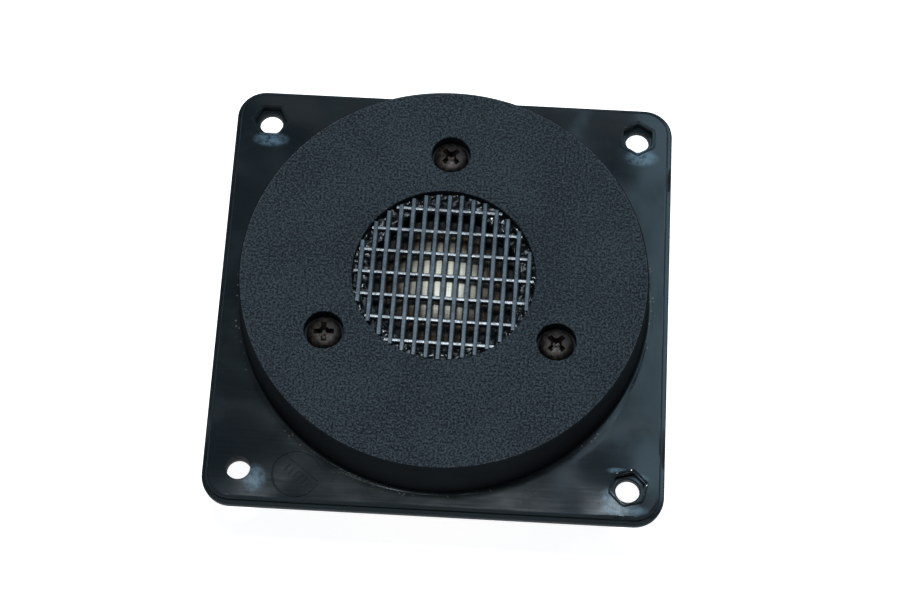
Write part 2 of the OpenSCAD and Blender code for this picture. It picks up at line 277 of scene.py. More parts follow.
def arc(centre, radius, start, end, steps=5):
    """Points of an arc in the (distance, height) plane, angles in degrees."""
    points = []
    for i in range(steps + 1):
        angle = math.radians(start + (end - start) * i / steps)
        points.append((centre[0] + radius * math.cos(angle), centre[1] + radius * math.sin(angle)))
    return points


def lathe(name, profile, count=ROUND_STEPS, centre=(0, 0), sharp=35):
    """Turns a closed (radius, height) outline about a vertical axis. A point on it is one vertex."""
    points, rows = [], []
    for radius, z in profile:
        if radius < 1e-6:
            rows.append([len(points)] * count)
            points.append((centre[0], centre[1], z))
        else:
            rows.append(list(range(len(points), len(points) + count)))
            points += circle_loop(radius, z, count, centre)
    faces = []
    for i, row in enumerate(rows):
        following = rows[(i + 1) % len(rows)]
        if row[0] == row[1] and following[0] == following[1]:
            continue
        for j in range(count):
            k = (j + 1) % count
            corners = [row[j], row[k], following[k], following[j]]
            faces.append(tuple(dict.fromkeys(corners)))
    return finish_mesh(name, points, faces, sharp)


def rounded(profile, radius, steps=4):
    """A closed (radius, height) outline with each corner rounded. A corner on the axis stays sharp."""
    out = []
    count = len(profile)
    for i, (x, z) in enumerate(profile):
        here = Vector((x, z))
        to_last = Vector(profile[i - 1]) - here
        to_next = Vector(profile[(i + 1) % count]) - here
        if x < 1e-6:
            out.append((x, z))
            continue
        reach = min(radius, 0.45 * to_last.length, 0.45 * to_next.length)
        start = here + to_last.normalized() * reach
        end = here + to_next.normalized() * reach
        for k in range(steps + 1):
            t = k / steps
            point = start * (1 - t) ** 2 + here * 2 * t * (1 - t) + end * t**2
            out.append((point.x, point.y))
    return out


def block(name, low, high):
    """A box between two corners, as a cutter or as a rib to be joined to a larger solid."""
    outline = ((low[0], low[1]), (high[0], low[1]), (high[0], high[1]), (low[0], high[1]))
    points = [(x, y, z) for z in (low[2], high[2]) for x, y in outline]
    faces = [(3, 2, 1, 0), (4, 5, 6, 7), (0, 1, 5, 4), (1, 2, 6, 5), (2, 3, 7, 6), (3, 0, 4, 7)]
    return finish_mesh(name, points, faces)


def boolean(target, tools, operation):
    """Cuts or joins solids and keeps only the result."""
    for tool in tools:
        modifier = target.modifiers.new("bool", "BOOLEAN")
        modifier.operation = operation
        modifier.solver = "MANIFOLD"
        modifier.object = tool
    apply_modifiers(target)
    for tool in tools:
        bpy.data.objects.remove(tool)


def apply_modifiers(piece):
    bpy.context.view_layer.update()
    shaped = piece.evaluated_get(bpy.context.evaluated_depsgraph_get())
    mesh = bpy.data.meshes.new_from_object(shaped)
    piece.modifiers.clear()
    piece.data = mesh


def flared_hole(name, radius, bottom, top, fillet, centre):
    """A round cutter whose mouth leaves a rounded edge at height top."""
    profile = [(0, bottom), (radius, bottom)]
    profile += arc((radius + fillet, top - fillet), fillet, 180, 90)
    profile += [(radius + fillet, top + PAST), (0, top + PAST)]
    return lathe(name, profile, 96, centre)


def drilled_hole(name, radius, mouth, centre):
    """A round cutter that leaves a small chamfer at height mouth."""
    chamfer = 0.2
    profile = [(0, -PAST), (radius, -PAST), (radius, mouth - chamfer)]
    profile += [(radius + chamfer, mouth), (radius + chamfer, mouth + PAST), (0, mouth + PAST)]
    return lathe(name, profile, 96, centre)


def cylinder(name, radius, low, high, count, centre):
    return lathe(name, [(0, low), (radius, low), (radius, high), (0, high)], count, centre)


def turned(piece, degrees, centre=(0, 0)):
    """Turns a piece's mesh about a vertical axis."""
    about = Vector((centre[0] * MM, centre[1] * MM, 0))
    spin = Matrix.Rotation(math.radians(degrees), 4, "Z")
    piece.data.transform(Matrix.Translation(about) @ spin @ Matrix.Translation(-about))
    return piece


def on_circle(radius, degrees):
    angle = math.radians(degrees)
    return radius * math.cos(angle), radius * math.sin(angle)


def hole_centre(corner):
    return corner[0] * HOLE_HALF, corner[1] * HOLE_HALF


def coat(piece, *materials):
    """Gives a piece these materials in place of any that it has."""
    piece.data.materials.clear()
    for material in materials:
        piece.data.materials.append(material)


def joined(name, pieces):
    """One object from several meshes, without merging them."""
    work = bmesh.new()
    for piece in pieces:
        work.from_mesh(piece.data)
        bpy.data.objects.remove(piece)
    mesh = bpy.data.meshes.new(name)
    work.to_mesh(mesh)
    work.free()
    return new_object(name, mesh)


# -------------------- materials


class Paint:
    """A Principled material that is built up one node at a time."""

    def __init__(self, name, colour, roughness, metallic=0.0, **constants):
        self.material = bpy.data.materials.new(name)
        self.material.use_nodes = True
        self.tree = self.material.node_tree
        self.shader = self.tree.nodes["Principled BSDF"]
        self.shader.inputs["Base Color"].default_value = (*colour, 1)
        self.shader.inputs["Roughness"].default_value = roughness
        self.shader.inputs["Metallic"].default_value = metallic
        for key, value in constants.items():
            self.shader.inputs[key.replace("_", " ")].default_value = value
        self.place = self.node("ShaderNodeTexCoord").outputs["Object"]

    def node(self, kind, **settings):
        made = self.tree.nodes.new(kind)
        for key, value in settings.items():
            setattr(made, key, value)
        return made

    def feed(self, socket, value):
        if isinstance(value, bpy.types.NodeSocket):
            self.tree.links.new(value, socket)
        elif isinstance(value, tuple) and len(value) == 3 and socket.type == "RGBA":
            socket.default_value = (*value, 1)
        else:
            socket.default_value = value

    def scaled(self, stretch, turn=0.0):
        """Object coordinates stretched along each axis and turned about Z."""
        node = self.node("ShaderNodeMapping")
        self.feed(node.inputs["Vector"], self.place)
        self.feed(node.inputs["Scale"], stretch)
        self.feed(node.inputs["Rotation"], (0, 0, math.radians(turn)))
        return node.outputs["Vector"]

    def noise(self, size, detail=2.0, roughness=0.5, place=None, distortion=0.0):
        """Noise whose features are about size millimetres across."""
        node = self.node("ShaderNodeTexNoise")
        self.feed(node.inputs["Vector"], place or self.place)
        self.feed(node.inputs["Scale"], 1 / (size * MM))
        self.feed(node.inputs["Detail"], detail)
        self.feed(node.inputs["Roughness"], roughness)
        self.feed(node.inputs["Distortion"], distortion)
        return node.outputs["Fac"]

    def cells(self, size, feature="F1"):
        """Distance from the middle of cells that are about size millimetres across."""
        node = self.node("ShaderNodeTexVoronoi", feature=feature)
        self.feed(node.inputs["Vector"], self.place)
        self.feed(node.inputs["Scale"], 1 / (size * MM))
        return node.outputs["Distance"]

    def math(self, operation, a, b=0.0, clamp=False):
        node = self.node("ShaderNodeMath", operation=operation, use_clamp=clamp)
        self.feed(node.inputs[0], a)
        self.feed(node.inputs[1], b)
        return node.outputs[0]

    def squares(self, a, b):
        """The sum of the squares of a and b."""
        return self.math("ADD", self.math("MULTIPLY", a, a), self.math("MULTIPLY", b, b))

    def remap(self, value, low, high, out_low=0.0, out_high=1.0):
        """A smooth step from out_low to out_high while value goes from low to high."""
        node = self.node("ShaderNodeMapRange", interpolation_type="SMOOTHSTEP")
        names = ("Value", "From Min", "From Max", "To Min", "To Max")
        for name, given in zip(names, (value, low, high, out_low, out_high)):
            self.feed(node.inputs[name], given)
        return node.outputs["Result"]

    def mix(self, share, a, b):
        """A colour that goes from a to b as share goes from 0 to 1."""
        node = self.node("ShaderNodeMix", data_type="RGBA")
        self.feed(node.inputs["Factor"], share)
        self.feed(node.inputs[6], a)
        self.feed(node.inputs[7], b)
        return node.outputs[2]

    def parts(self):
        """The x, y and z of a point, in metres."""
        node = self.node("ShaderNodeSeparateXYZ")
        self.feed(node.inputs[0], self.place)
        return node.outputs

    def axis_distance(self):
        """Distance from the object's axis, in metres."""
        x, y, _ = self.parts()
        return self.math("SQRT", self.squares(x, y))

    def colour(self, value):
        self.feed(self.shader.inputs["Base Color"], value)

    def rough(self, value):
        self.feed(self.shader.inputs["Roughness"], value)

    def bump(self, *layers):
        """Bumps on top of each other, each a (height, depth in millimetres) pair."""
        normal = None
        for height, depth in layers:
            node = self.node("ShaderNodeBump")
            self.feed(node.inputs["Strength"], 1.0)
            self.feed(node.inputs["Distance"], depth * MM)
            self.feed(node.inputs["Height"], height)
            if normal is not None:
                self.feed(node.inputs["Normal"], normal)
            normal = node.outputs["Normal"]
        self.feed(self.shader.inputs["Normal"], normal)


def face_paint():
    """Black plastic with a fine spark grain, and a little dust."""
    paint = Paint("grained_face", (0.015, 0.019, 0.022), 0.58, Specular_IOR_Level=0.35)
    grain = paint.noise(0.36, 3.0, 0.62)
    pits = paint.cells(0.5, "SMOOTH_F1")
    speckle = paint.noise(0.45, 2.0, 0.7)
    broad = paint.noise(16, 3.0, 0.6)
    tone = paint.math("ADD", speckle, paint.remap(broad, 0.3, 0.7, -0.02, 0.02))
    body = paint.mix(paint.remap(tone, 0.40, 0.62), (0.009, 0.012, 0.0155), (0.066, 0.082, 0.093))
    specks = paint.remap(paint.cells(3.2), 0.03, 0.05, 1.0, 0.0)
    dust = paint.math("MULTIPLY", specks, paint.remap(paint.noise(7), 0.52, 0.6))
    paint.colour(paint.mix(dust, body, (0.16, 0.17, 0.17)))
    paint.rough(paint.remap(grain, 0.3, 0.7, 0.5, 0.66))
    paint.bump((paint.math("ADD", grain, paint.math("MULTIPLY", pits, 0.5)), 0.8))
    return paint.material


def wall_paint():
    """The smooth side of the raised front."""
    paint = Paint("smooth_wall", (0.011, 0.013, 0.015), 0.3, Specular_IOR_Level=0.0)
    haze = paint.noise(9, 4.0, 0.6, distortion=0.6)
    fine = paint.noise(0.8, 2.0)
    paint.colour(paint.mix(haze, (0.008, 0.009, 0.0105), (0.014, 0.016, 0.018)))
    paint.rough(paint.remap(haze, 0.3, 0.7, 0.24, 0.36))
    paint.bump((fine, 0.02))
    return paint.material


# Painted highlights near the holes: lighter patches on the flange where its sheen falls, each a centre and
# half sizes in millimetres
PAINTED_HIGHLIGHT_SPOTS = (
    (-39.6, 35.4, 3.4, 1.6),
    (40.9, 35.3, 3.3, 1.8),
    (-36.4, -42.2, 2.1, 2.8),
    (39.2, -44.8, 4.6, 1.3),
    (36.0, -42.6, 1.6, 2.2),
    (37.6, -36.4, 2.0, 0.6),
    (42.3, -37.9, 1.6, 0.9),
)


def painted_highlight_mask(paint):
    """One on each painted highlight, fading to zero round each spot."""
    x, y, _ = paint.parts()
    total = 0.0
    for cx, cy, rx, ry in PAINTED_HIGHLIGHT_SPOTS:
        across = paint.math("MULTIPLY", paint.math("SUBTRACT", x, cx * MM), 1 / (rx * MM))
        along = paint.math("MULTIPLY", paint.math("SUBTRACT", y, cy * MM), 1 / (ry * MM))
        spot = paint.remap(paint.squares(across, along), 0.0, 1.7, 1.0, 0.0)
        total = paint.math("ADD", total, spot, clamp=True)
    return total


def flange_paint():
    """Glossy plastic with faint smears, hairline marks, painted highlights near the holes and grit along
    the raised front.
    """
    paint = Paint("glossy_flange", (0.008, 0.011, 0.013), 0.16, Specular_IOR_Level=0.35)
    smears = paint.noise(9, 3.0, 0.55, place=paint.scaled((0.6, 1.0, 1), -14), distortion=0.5)
    hairs = paint.noise(0.7, 2.0, 0.6, place=paint.scaled((0.05, 1.2, 1), 2))
    ripple = paint.noise(6, 2.0, 0.5)
    body = paint.mix(paint.remap(smears, 0.3, 0.75), (0.006, 0.009, 0.011), (0.011, 0.016, 0.019))
    patches = paint.remap(paint.noise(1.1, 4.0, 0.65), 0.22, 0.66)
    # Painted highlights: lighter bluish patches near the holes that stand in for the flange's sheen
    painted_highlight = paint.math("MULTIPLY", painted_highlight_mask(paint), patches)
    highlighted_body = paint.mix(painted_highlight, body, (0.10, 0.15, 0.19))
    swept_from, swept_to = (DRUM_BASE_R + 0.4) * MM, (DRUM_BASE_R + 2.2) * MM
    swept = paint.remap(paint.axis_distance(), swept_from, swept_to, 1.0, 0.0)
    swept = paint.math("MULTIPLY", swept, paint.remap(paint.noise(5), 0.44, 0.58))
    grit = paint.math("MULTIPLY", paint.remap(paint.cells(1.0), 0.16, 0.26, 1.0, 0.0), swept)
    paint.colour(paint.mix(grit, highlighted_body, (0.16, 0.14, 0.11)))
    smeared = paint.remap(smears, 0.3, 0.75, 0.12, 0.16)
    paint.rough(paint.math("ADD", smeared, paint.remap(hairs, 0.4, 0.7, 0.0, 0.015)))
    paint.bump((ripple, 0.02), (hairs, 0.002))
    return paint.material


def edge_paint():
    """Unpolished plastic on the flange's sides and on the inside."""
    paint = Paint("unpolished_edge", (0.012, 0.015, 0.017), 0.7, Specular_IOR_Level=0.05)
    mottle = paint.noise(1.2, 3.0, 0.6)
    paint.colour(paint.mix(mottle, (0.013, 0.017, 0.019), (0.024, 0.030, 0.033)))
    paint.rough(paint.remap(mottle, 0.3, 0.7, 0.6, 0.8))
    paint.bump((mottle, 0.03))
    return paint.material


def gasket_paint():
    paint = Paint("gasket_rubber", (0.02, 0.024, 0.026), 0.7, Specular_IOR_Level=0.15)
    grain = paint.noise(0.35, 3.0, 0.7)
    wear = paint.noise(9, 3.0, 0.6)
    paint.colour(paint.mix(paint.remap(wear, 0.35, 0.7), (0.016, 0.019, 0.021), (0.036, 0.043, 0.047)))
    paint.rough(paint.remap(grain, 0.3, 0.7, 0.5, 0.75))
    paint.bump((grain, 0.06))
    return paint.material


def grille_paint():
    """Grey moulded bars, with a painted highlight on their crowns and painted shade down their sides."""
    paint = Paint("grille_plastic", (0.1, 0.12, 0.14), 0.42)
    z = paint.parts()[2]
    # Painted light: by height, the crowns get a lighter painted highlight colour and the sides a darker
    # painted shade
    crown = paint.remap(z, (GRILLE_REAR + 0.3) * MM, GRILLE_FRONT * MM)
    mottle = paint.noise(0.5, 3.0, 0.6)
    broad = paint.noise(3, 3.0, 0.6)
    side = paint.mix(mottle, (0.003, 0.004, 0.006), (0.010, 0.012, 0.015))
    top = paint.mix(paint.remap(broad, 0.3, 0.7), (0.028, 0.037, 0.048), (0.075, 0.094, 0.114))
    paint.colour(paint.mix(crown, side, top))
    paint.rough(paint.remap(mottle, 0.3, 0.7, 0.22, 0.36))
    paint.bump((mottle, 0.03))
    return paint.material


def adhesive_paint():
    paint = Paint("black_adhesive", (0.008, 0.009, 0.01), 0.4, Specular_IOR_Level=0.3)
    lumps = paint.noise(1.1, 2.0, 0.5)
    paint.colour(paint.mix(paint.remap(lumps, 0.56, 0.74), (0.002, 0.0025, 0.0025), (0.030, 0.033, 0.031)))
    paint.rough(paint.remap(lumps, 0.3, 0.7, 0.16, 0.42))
    paint.bump((lumps, 0.06))
    return paint.material


def screw_paint():
    """Dark browned steel with a little rust."""
    paint = Paint("browned_steel", (0.03, 0.02, 0.016), 0.42, 0.75)
    rust = paint.noise(0.9, 4.0, 0.65)
    fine = paint.noise(0.18, 3.0, 0.6)
    paint.colour(paint.mix(paint.remap(rust, 0.35, 0.72), (0.012, 0.011, 0.011), (0.042, 0.027, 0.020)))
    paint.rough(paint.remap(rust, 0.3, 0.7, 0.32, 0.62))
    paint.bump((fine, 0.02), (rust, 0.05))
    return paint.material


def dome_paint():
    """Doped cloth with a fine weave, cream on the crown and dark brown towards the edge: a painted
    highlight on the crown that fades to painted shade towards the edge.
    """
    paint = Paint("doped_dome_cloth", (0.7, 0.62, 0.46), 0.42, Coat_Weight=0.25, Coat_Roughness=0.25)
    radius = paint.axis_distance()
    across = paint.node("ShaderNodeTexWave", wave_type="BANDS", bands_direction="X")
    down = paint.node("ShaderNodeTexWave", wave_type="BANDS", bands_direction="Y")
    for wave in (across, down):
        paint.feed(wave.inputs["Vector"], paint.place)
        paint.feed(wave.inputs["Scale"], 1 / (2.2 * MM))
        paint.feed(wave.inputs["Distortion"], 0.4)
    weave = paint.math("MULTIPLY", across.outputs["Fac"], down.outputs["Fac"])
    stain = paint.noise(3.5, 3.0, 0.6)
    # Painted light: cream where the highlight falls on the crown, fading to dark brown painted shade
    # towards the edge
    edge = paint.remap(radius, 2.0 * MM, 10.5 * MM)
    shade = paint.math("ADD", edge, paint.remap(stain, 0.3, 0.7, -0.12, 0.12), clamp=True)
    cloth = paint.mix(shade, (0.74, 0.67, 0.53), (0.028, 0.016, 0.010))
    paint.colour(paint.mix(paint.remap(weave, 0.0, 1.0, 0.0, 0.22), cloth, (0.20, 0.14, 0.08)))
    paint.rough(paint.remap(stain, 0.3, 0.7, 0.36, 0.5))
    paint.bump((weave, 0.03), (stain, 0.08))
    return paint.material


def cloth_paint(name, dark, light):
    """Matt cloth or felt whose threads run both ways."""
    paint = Paint(name, dark, 0.85, Sheen_Weight=0.15)
    thread = 0.35
    across = paint.noise(thread, 2.0, 0.6, place=paint.scaled((1, 0.25, 1)))
    down = paint.noise(thread, 2.0, 0.6, place=paint.scaled((0.25, 1, 1)))
    weave = paint.math("ADD", across, down)
    paint.colour(paint.mix(paint.remap(weave, 0.7, 1.35), dark, light))
    paint.rough(paint.remap(across, 0.3, 0.7, 0.78, 0.95))
    paint.bump((weave, 0.05))
    return paint.material


def steel_paint(name, dark, light, rough_low, rough_high, rings=False):
    """Metal with stains and fine marks, and with the rings of turning if asked for."""
    paint = Paint(name, light, (rough_low + rough_high) / 2, 0.95)
    stain = paint.noise(7, 4.0, 0.62, distortion=0.5)
    fine = paint.noise(0.4, 3.0, 0.6)
    paint.colour(paint.mix(paint.remap(stain, 0.32, 0.72), dark, light))
    stained = paint.remap(stain, 0.3, 0.7, rough_high, rough_low)
    paint.rough(paint.math("ADD", stained, paint.remap(fine, 0.3, 0.7, -0.05, 0.05)))
    if rings:
        wave = paint.node("ShaderNodeTexWave", wave_type="RINGS", rings_direction="Z")
        paint.feed(wave.inputs["Vector"], paint.place)
        paint.feed(wave.inputs["Scale"], 1 / (4.5 * MM))
        paint.feed(wave.inputs["Distortion"], 1.5)
        paint.feed(wave.inputs["Detail Scale"], 0.6)
        paint.bump((wave.outputs["Fac"], 0.006), (fine, 0.012))
    else:
        paint.bump((fine, 0.02))
    return paint.material


def mineral_paint(name, dark, light, size, rough_low, rough_high, depth):
    """Pressed or cast matter with an even mottle, such as ferrite, card or laminate."""
    paint = Paint(name, light, rough_high)
    mottle = paint.noise(size, 4.0, 0.65)
    broad = paint.noise(size * 9, 3.0, 0.6)
    both = paint.math("ADD", paint.math("MULTIPLY", mottle, 0.6), paint.math("MULTIPLY", broad, 0.4))
    paint.colour(paint.mix(paint.remap(both, 0.35, 0.68), dark, light))
    paint.rough(paint.remap(broad, 0.3, 0.7, rough_low, rough_high))
    paint.bump((mottle, depth))
    return paint.material


# -------------------- moulding


def circles_of(profile):
    return [circle_loop(radius, z) for radius, z in profile]


def squares_of(profile):
    return [square_loop(inset, z) for inset, z in profile]


def flange_rise(x, y):
    """How far the flange lies above its flat shape: clamping left a low mound round each hole."""
    mound, mound_width = 0.30, 6.0
    dip, dip_r, dip_width = 0.06, 11, 3.0
    rise = 0.0
    for cx in (-HOLE_HALF, HOLE_HALF):
        for cy in (-HOLE_HALF, HOLE_HALF):
            away = math.hypot(x - cx, y - cy)
            rise += mound * math.exp(-((away / mound_width) ** 2))
            rise -= dip * math.exp(-(((away - dip_r) / dip_width) ** 2))
    rise += 0.07 * noise.noise(Vector((x * 0.05, y * 0.05, 3.1)))
    rise += 0.02 * noise.noise(Vector((x * 0.2, y * 0.2, 7.7)))
    return rise


def raised(loop, share):
    """A loop of the flange lifted by a share of its rise."""
    return [(x, y, z + flange_rise(x, y) * share) for x, y, z in loop]


def drum_profile():
    """From the throat up over the face and down to the flange, as (radius, height) points."""
    fillet, base_fillet = 0.25, 0.45
    profile = [(THROAT_R, CLAMP_Z)]
    profile += arc((THROAT_R + fillet, LEDGE_Z - fillet), fillet, 180, 90)
    profile += [(OPENING_R, LEDGE_Z)]
    profile += arc((OPENING_R + fillet, FACE_Z - fillet), fillet, 180, 90)
    profile += [(r, FACE_Z) for r in (23, 32, 38)]
    profile += arc((DRUM_FACE_R - DRUM_RIM_R, FACE_Z - DRUM_RIM_R), DRUM_RIM_R, 90, 2, 8)
    profile += [(DRUM_FACE_R + 0.3, 9.5)]
    profile += arc((DRUM_BASE_R + base_fillet, FLANGE_FRONT + base_fillet), base_fillet, 180, 270, 5)
    return profile


def moulding_body():
    """The hollow moulding as one loft: up the throat, over the face, down to the flange and back inside."""
    edge, lip = 0.3, 0.22
    loops = circles_of(drum_profile())
    first_flange = len(loops)

    inner = loops[-1]
    outer = square_loop(STEP_INSET + edge, FLANGE_FRONT)
    steps = 40
    for i in range(1, steps + 1):
        loops.append(between(inner, outer, i / steps))
    loops += squares_of(arc((STEP_INSET + edge, FLANGE_FRONT - edge), edge, 90, 180)[1:])
    step_floor = FLANGE_FRONT - STEP_HEIGHT
    loops += squares_of([(STEP_INSET, step_floor + 0.1), (STEP_INSET - 0.1, step_floor)])
    loops += squares_of(arc((lip, step_floor - lip), lip, 90, 180))
    loops += squares_of(arc((lip, FLANGE_REAR + lip), lip, 180, 270))

    rear = square_loop(1.5, FLANGE_REAR)
    cavity = circle_loop(CAVITY_R, FLANGE_REAR)
    loops += [rear, between(rear, cavity, 0.5), cavity]
    loops += circles_of([(CAVITY_R, CAVITY_TOP), (CLAMP_BOSS_R, CAVITY_TOP), (CLAMP_BOSS_R, CLAMP_Z)])

    # The flange's front rises in full, fading in over its first loops. Its rounded edge, the step
    # and the start of the lip follow by less.
    edge_loops, edge_share, fade_loops = 8, 0.6, 3
    for i in range(first_flange, first_flange + steps + edge_loops):
        fade = min(1, (i - first_flange) / fade_loops)
        share = 1 if i < first_flange + steps else edge_share
        loops[i] = raised(loops[i], fade * share)
    return loft("front_moulding", loops)


def moulding_inside():
    """Ribs, screw bosses, the motor's locating rim and the terminal board's bosses."""
    top = CAVITY_TOP + OVERLAP
    added = []
    for degrees in range(0, 360, 30):
        if degrees in SCREW_ANGLES:
            continue
        low = (CLAMP_BOSS_R - OVERLAP, -RIB_HALF, RIB_REAR)
        rib = block("rib", low, (CAVITY_R + OVERLAP, RIB_HALF, top))
        added.append(turned(rib, degrees))
    chamfer = 0.3
    boss = [(0, TOP_PLATE_Z), (SCREW_BOSS_R - chamfer, TOP_PLATE_Z), (SCREW_BOSS_R, TOP_PLATE_Z + chamfer)]
    boss += [(SCREW_BOSS_R, top), (0, top)]
    for degrees in SCREW_ANGLES:
        added.append(lathe("boss", boss, 72, on_circle(SCREW_CIRCLE_R, degrees)))
    outline = [(RIM_INNER_R, RIM_REAR), (RIM_OUTER_R, RIM_REAR), (RIM_OUTER_R, top), (RIM_INNER_R, top)]
    rim = lathe("rim", rounded(outline, 0.3))
    slot = block("slot", (-RIM_SLOT_HALF, -CAVITY_R, 0), (RIM_SLOT_HALF, -10, RIM_SLOT_TOP))
    boolean(rim, [slot], "DIFFERENCE")
    added.append(rim)
    for x in (-BOARD_BOSS_X, BOARD_BOSS_X):
        added.append(cylinder("boss", BOARD_BOSS_R, BOARD_BOSS_REAR, top, 72, (x, BOARD_BOSS_Y)))
    return added


def hex_loop(flats, z, centre, turn):
    """A hexagon with slightly rounded corners. turn 0 has a corner along +X."""
    corner, side_steps = 0.35, 8
    outer = flats / math.sqrt(3)
    corners = [Vector(on_circle(outer, turn + 60 * i)) for i in range(6)]
    loop = []
    for i, here in enumerate(corners):
        last, following = corners[i - 1], corners[(i + 1) % 6]
        start = here + (last - here).normalized() * corner
        end = here + (following - here).normalized() * corner
        for t in (0, 0.5, 1):
            loop.append(start * (1 - t) ** 2 + here * 2 * t * (1 - t) + end * t**2)
        leave = following + (here - following).normalized() * corner
        for k in range(1, side_steps):
            loop.append(end.lerp(leave, k / side_steps))
    return [(centre[0] + point.x, centre[1] + point.y, z) for point in loop]


def hex_cutter(centre, turn, top):
    """A hexagonal cutter whose mouth leaves a rounded edge at height top."""
    fillet = 0.18
    loops = [hex_loop(HEX_FLATS, FLANGE_FRONT - HEX_DEPTH, centre, turn)]
    for grow, z in arc((fillet, top - fillet), fillet, 180, 90):
        loops.append(hex_loop(HEX_FLATS + 2 * grow, z, centre, turn))
    loops.append(hex_loop(HEX_FLATS + 2 * fillet, top + PAST, centre, turn))
    return loft("hex", loops, closed=False)


def hex_burr(centre, turn, top, height, seed):
    """The ragged lip that a bolt head squeezed up round its hexagon."""
    sections = []
    wander = Vector((seed * 3.7, seed * 1.3, 0))
    root = -0.35
    for x, y, _ in hex_loop(HEX_FLATS + 0.5, 0, centre, turn):
        out = Vector((x - centre[0], y - centre[1])).normalized()
        rough = noise.noise(Vector((x, y, 0)) * 0.9 + wander) * 0.5 + 0.5
        fine = noise.noise(Vector((x, y, 0)) * 3.1 + wander) * 0.5 + 0.5
        tall = height * (0.15 + 1.1 * rough * rough + 0.5 * fine * rough)
        wide = 0.30 + 0.25 * fine
        lean = 0.12 * (fine - 0.5)
        section = [(-0.12, root), (wide, root), (wide * 0.8, tall * 0.35)]
        section += [(0.14 + lean, tall), (-0.02 + lean, tall * 0.9)]
        sections.append([(x + out.x * grow, y + out.y * grow, top + z) for grow, z in section])
    return loft("burr", sections)


def moulding_cutters():
    """Counterbores, screw holes, mounting holes and pressed hexagons."""
    cutters = []
    for degrees in SCREW_ANGLES:
        centre = on_circle(SCREW_CIRCLE_R, degrees)
        cutters.append(flared_hole("bore", COUNTERBORE_R, COUNTERBORE_Z, FACE_Z, 0.22, centre))
        cutters.append(cylinder("clear", SCREW_CLEAR_R, *SCREW_CLEAR_ENDS, 64, centre))
    for corner in CORNERS:
        centre = hole_centre(corner)
        surface = FLANGE_FRONT + flange_rise(*centre)
        if corner in PRESSED_HEXES:
            turn = PRESSED_HEXES[corner][0]
            cutters.append(hex_cutter(centre, turn, surface + 0.05))
            surface = FLANGE_FRONT - HEX_DEPTH
        cutters.append(drilled_hole("hole", HOLE_R, surface, centre))
    return cutters


def nick():
    """An irregular chip out of the flange's lower edge."""
    mesh = bpy.data.meshes.new("nick")
    work = bmesh.new()
    bmesh.ops.create_icosphere(work, subdivisions=3, radius=1)
    for v in work.verts:
        rough = 1 + 0.25 * noise.noise(v.co * 1.7 + Vector((4, 2, 9)))
        v.co = Vector([c * half for c, half in zip(v.co, NICK_HALF)]) * rough
        v.co = (v.co + Vector(NICK_CENTRE)) * MM
    work.to_mesh(mesh)
    work.free()
    return new_object("nick", mesh)


def mark_tools():
    """A plain ring with a row of short bars below a chord, pressed into the flange as a shallow mark."""
    top = FLANGE_FRONT + 1
    floor = FLANGE_FRONT - MARK_DEPTH - 0.05
    inner = MARK_R - MARK_LINE
    profile = [(inner, floor), (MARK_R, floor), (MARK_R + 0.08, top), (inner - 0.08, top)]
    ring = lathe("mark", profile, 96, MARK_CENTRE)
    half = math.sqrt((MARK_R - MARK_LINE / 2) ** 2 - MARK_BAND_Y**2)
    boxes = [(-half, MARK_BAND_Y - MARK_LINE, half, MARK_BAND_Y)]
    for i in range(-2, 3):
        middle = i * MARK_BAR_PITCH
        boxes.append((middle - MARK_LINE / 2, -MARK_BAR / 2, middle + MARK_LINE / 2, MARK_BAR / 2))
    tools = [ring]
    for left, low, right, high in boxes:
        cutter = block("bar", (left, low, floor), (right, high, top))
        turned(cutter, MARK_TURN)
        cutter.data.transform(Matrix.Translation(Vector((*MARK_CENTRE, 0)) * MM))
        tools.append(cutter)
    return tools


def moulding_zone(centre, normal):
    """Which finish a face of the moulding has."""
    x, y, z = centre / MM
    radius = math.hypot(x, y)
    outside_r = 41
    if radius < DRUM_FACE_R and z > FACE_Z - 0.15:
        return GRAINED
    if radius < THROAT_R + 4 and z > CLAMP_Z + 0.1:
        return UNPOLISHED
    if outside_r < radius < DRUM_BASE_R + 0.1 and z > FLANGE_FRONT + 0.2:
        return WALL
    above_hex_floors = z > FLANGE_FRONT - HEX_DEPTH - 0.1
    near_lower_edge = -y > FLANGE_HALF - STEP_INSET - 0.5
    if radius > outside_r and above_hex_floors and normal.z > 0.99 and not near_lower_edge:
        return GLOSSY
    return UNPOLISHED


def build_moulding():
    piece = moulding_body()
    boolean(piece, moulding_inside(), "UNION")
    burrs = []
    for corner, (turn, height, seed) in PRESSED_HEXES.items():
        centre = hole_centre(corner)
        top = FLANGE_FRONT + flange_rise(*centre) + 0.02
        burrs.append(hex_burr(centre, turn, top, height, seed))
    boolean(piece, burrs, "UNION")
    boolean(piece, moulding_cutters() + [nick()] + mark_tools(), "DIFFERENCE")
    smooth(piece, 32)
    coat(piece, face_paint(), wall_paint(), flange_paint(), edge_paint())
    for polygon in piece.data.polygons:
        polygon.material_index = moulding_zone(polygon.center, polygon.normal)
    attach(piece, "housing")
    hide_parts("front_plate")


def build_gasket():
    """The sealing frame under the flange."""
    lip = 0.2
    inset = 0.12
    loops = squares_of(arc((inset + lip, GASKET_REAR + lip), lip, 270, 180))
    loops += squares_of(arc((inset + lip, FLANGE_REAR - lip), lip, 180, 90))
    bore_r = CAVITY_R + 0.5
    loops += [circle_loop(bore_r, FLANGE_REAR), circle_loop(bore_r, GASKET_REAR)]
    piece = loft("gasket_frame", loops)
    holes = []
    for x in (-HOLE_HALF, HOLE_HALF):
        for y in (-HOLE_HALF, HOLE_HALF):
            holes.append(cylinder("hole", HOLE_R, -PAST, PAST, 72, (x, y)))
    boolean(piece, holes, "DIFFERENCE")
    smooth(piece, 35)
    coat(piece, gasket_paint())
    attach(piece, "housing")
    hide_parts("flange_gasket")


# -------------------- grille

